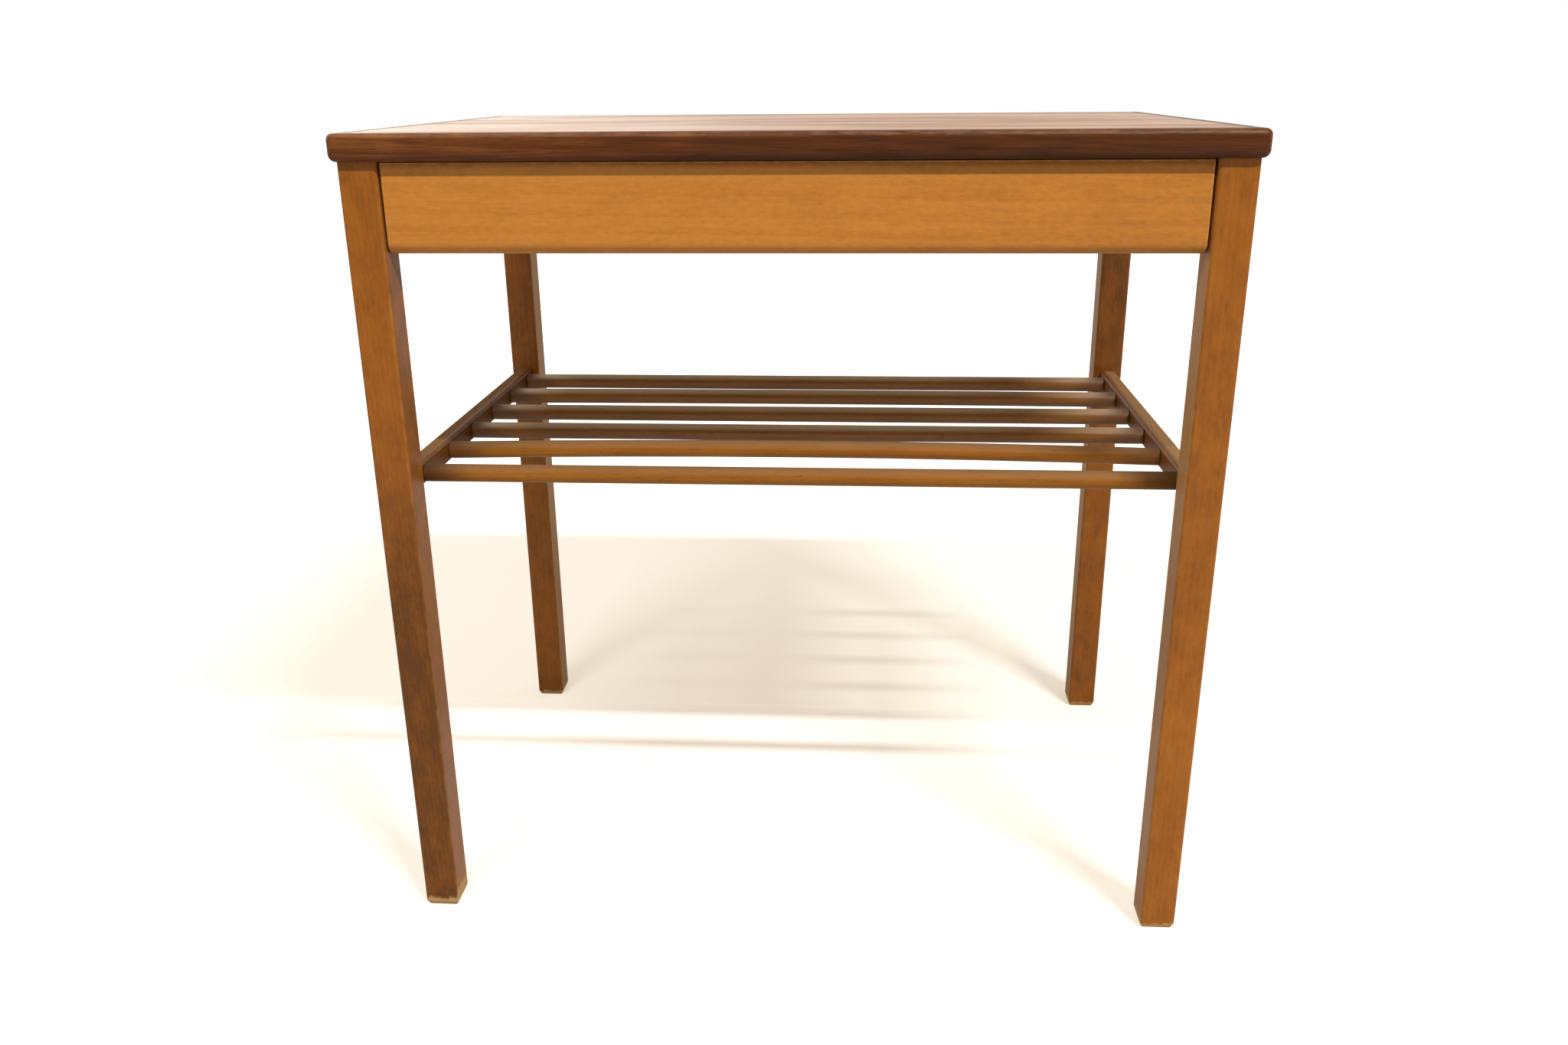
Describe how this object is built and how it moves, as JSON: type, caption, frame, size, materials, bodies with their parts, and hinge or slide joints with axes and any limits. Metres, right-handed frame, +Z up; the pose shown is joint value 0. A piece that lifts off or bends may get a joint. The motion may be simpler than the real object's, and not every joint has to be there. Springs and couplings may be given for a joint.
{
  "type": "nightstand",
  "caption": "Bedside table with a veneered top, square legs, a shallow full-width drawer and a low shelf of round rods between two side rails.",
  "frame": {"origin": "on the floor under the middle of the table top", "axes": "+X to the right seen from the front, -Y out of the drawer front, +Z up"},
  "size_m": [0.5, 0.337, 0.495],
  "materials": {
    "teak_edge": "oiled teak strip, satin",
    "teak_veneer": "oiled teak veneer, satin",
    "core_board": "raw chipboard",
    "backing_veneer": "plain balancing veneer",
    "leg_beech": "stained and lacquered beech, satin",
    "front_beech": "lacquered light beech, satin",
    "apron_beech": "stained and lacquered beech, satin",
    "shelf_beech": "stained and lacquered beech, satin",
    "drawer_box_beech": "plain sanded beech",
    "drawer_panel": "thin plywood, sealed",
    "inner_strip": "plain planed beech",
    "dowel_beech": "raw beech dowel",
    "screw_steel": "dull zinc-plated steel"
  },
  "bodies": {
    "frame": {"top_core": "core_board", "top_face_veneer": "teak_veneer", "top_backing_veneer": "backing_veneer", "top_lipping_front": "teak_edge", "top_lipping_back": "teak_edge", "top_lipping_left": "teak_edge", "top_lipping_right": "teak_edge", "leg_front_left": "leg_beech", "leg_front_right": "leg_beech", "leg_back_left": "leg_beech", "leg_back_right": "leg_beech", "apron_left": "apron_beech", "apron_right": "apron_beech", "apron_back": "apron_beech", "front_top_strip": "inner_strip", "back_top_strip": "inner_strip", "glue_blocks": "inner_strip", "runner_left": "inner_strip", "runner_right": "inner_strip", "drawer_stops": "inner_strip", "shelf_rail_left": "shelf_beech", "shelf_rail_right": "shelf_beech", "frame_dowels": "dowel_beech", "shelf_dowels": "dowel_beech", "top_screws": "screw_steel", "runner_screws": "screw_steel", "shelf_rod_1": "shelf_beech", "shelf_rod_2": "shelf_beech", "shelf_rod_3": "shelf_beech", "shelf_rod_4": "shelf_beech", "shelf_rod_5": "shelf_beech", "shelf_rod_6": "shelf_beech"},
    "drawer": {"drawer_front": "front_beech", "drawer_side_left": "drawer_box_beech", "drawer_side_right": "drawer_box_beech", "drawer_back": "drawer_box_beech", "drawer_bottom": "drawer_panel", "drawer_bottom_nails": "screw_steel"}
  },
  "joints": [
    {"name": "drawer_slide", "type": "slide", "parent": "frame", "child": "drawer", "axis": [0, -1, 0], "range_m": [0, 0.2]}
  ]
}
